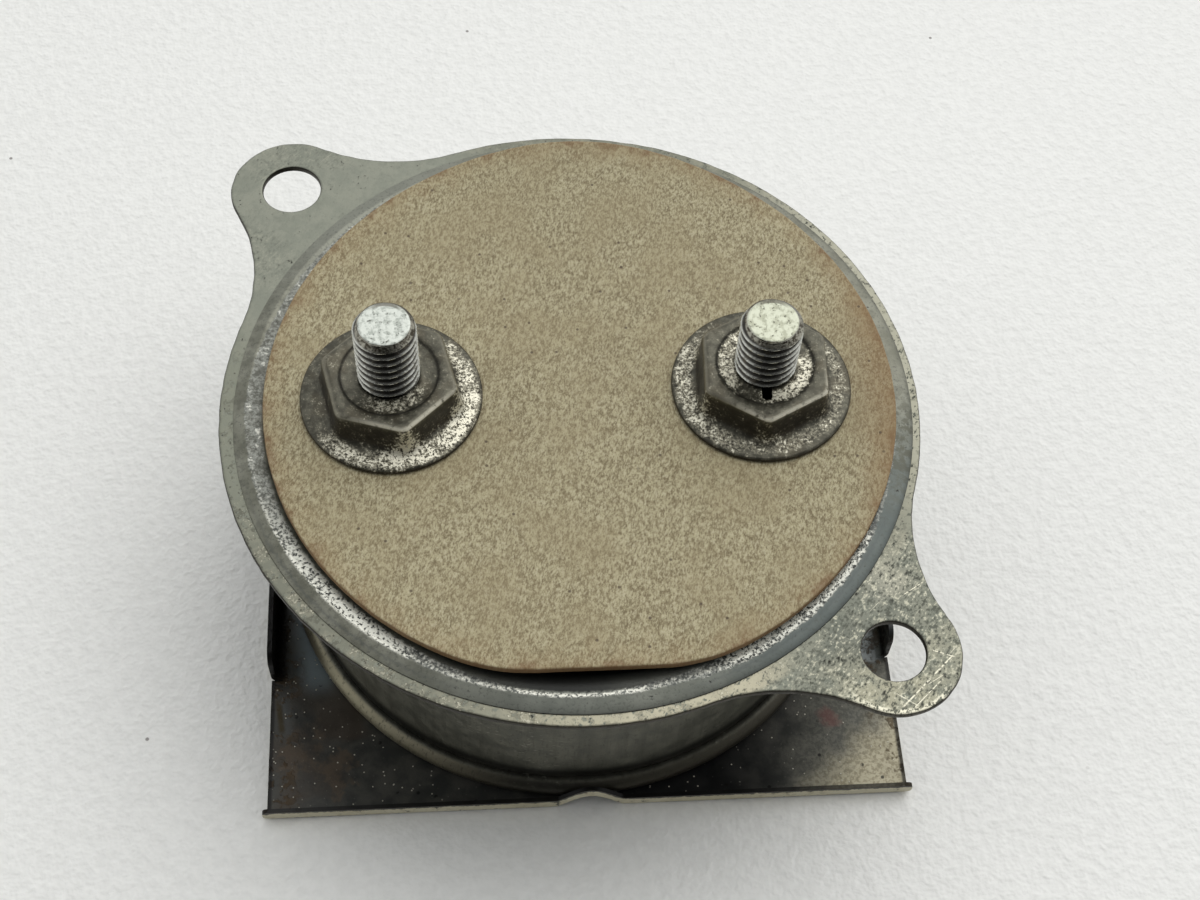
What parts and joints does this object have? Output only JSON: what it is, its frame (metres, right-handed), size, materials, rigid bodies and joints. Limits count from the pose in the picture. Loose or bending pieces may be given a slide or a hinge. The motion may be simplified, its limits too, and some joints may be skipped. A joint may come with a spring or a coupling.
{
  "type": "oil pressure gauge",
  "caption": "Round panel gauge with a flanged steel case on two ears, two terminal studs behind and a square dial plate with a swinging pointer.",
  "frame": {"origin": "on the axis of the round case, in the plane of the dial plate's front border, on which the gauge lies face down", "axes": "+Z out of the back of the gauge along the terminal studs; +X from the left stud to the right stud in the picture's view; +Y away from the dial plate's arched front lip"},
  "size_m": [0.055, 0.055, 0.0335],
  "materials": {
    "zinc_steel": "dull worn zinc plate",
    "fibre_board": "aged pressed fibre",
    "bright_steel": "bright plated steel",
    "dark_steel": "dark patina worn to bright spots",
    "vulcan_fibre": "vulcanised fibre",
    "brass": "dull brass",
    "red_lead": "cotton covered wire",
    "black_lead": "cotton covered wire",
    "dial_paint": "black back, ivory face, aged",
    "frame_steel": "plain plated steel",
    "bimetal": "rolled bimetal strip",
    "pointer_paint": "satin paint",
    "sleeve_fibre": "woven insulating sleeve",
    "covered_wire": "lacquered resistance wire"
  },
  "bodies": {
    "gauge_case": {"case": "zinc_steel", "back_cover": "zinc_steel", "insulating_disc": "fibre_board", "stud_left": "bright_steel", "stud_right": "bright_steel", "nut_left": "dark_steel", "nut_right": "dark_steel", "bush_left": "vulcan_fibre", "bush_right": "vulcan_fibre", "lug_left": "brass", "lug_right": "brass", "lead_left": "red_lead", "lead_right": "black_lead", "dial_plate": "dial_paint", "stop_pins": "brass", "arbor_bush": "brass", "bridge": "frame_steel", "bridge_rivets": "brass", "anchor_post": "frame_steel", "anchor_rivets": "brass", "compensating_leg": "bimetal"},
    "pointer_arbor": {"arbor": "bright_steel", "pointer_hub": "pointer_paint", "pointer": "pointer_paint", "crank": "frame_steel"},
    "heated_bimetal": {"heated_leg": "bimetal", "drive_tab": "frame_steel", "winding_sleeve": "sleeve_fibre", "heater_winding": "covered_wire"}
  },
  "joints": [
    {"name": "pointer_swing", "type": "hinge", "parent": "gauge_case", "child": "pointer_arbor", "pos_m": [0, -0.014, 0.0026], "axis": [0, 0, 1], "range_deg": [0, 60], "stiffness_Nm_per_rad": 0.0002},
    {"name": "bimetal_flex", "type": "hinge", "parent": "gauge_case", "child": "heated_bimetal", "pos_m": [0, 0.015, 0.0086], "axis": [0, 0, 1], "range_deg": [-5.4, 0]}
  ],
  "couplings": [
    {"joint": "bimetal_flex", "follows": "pointer_swing", "ratio": -0.088898}
  ]
}
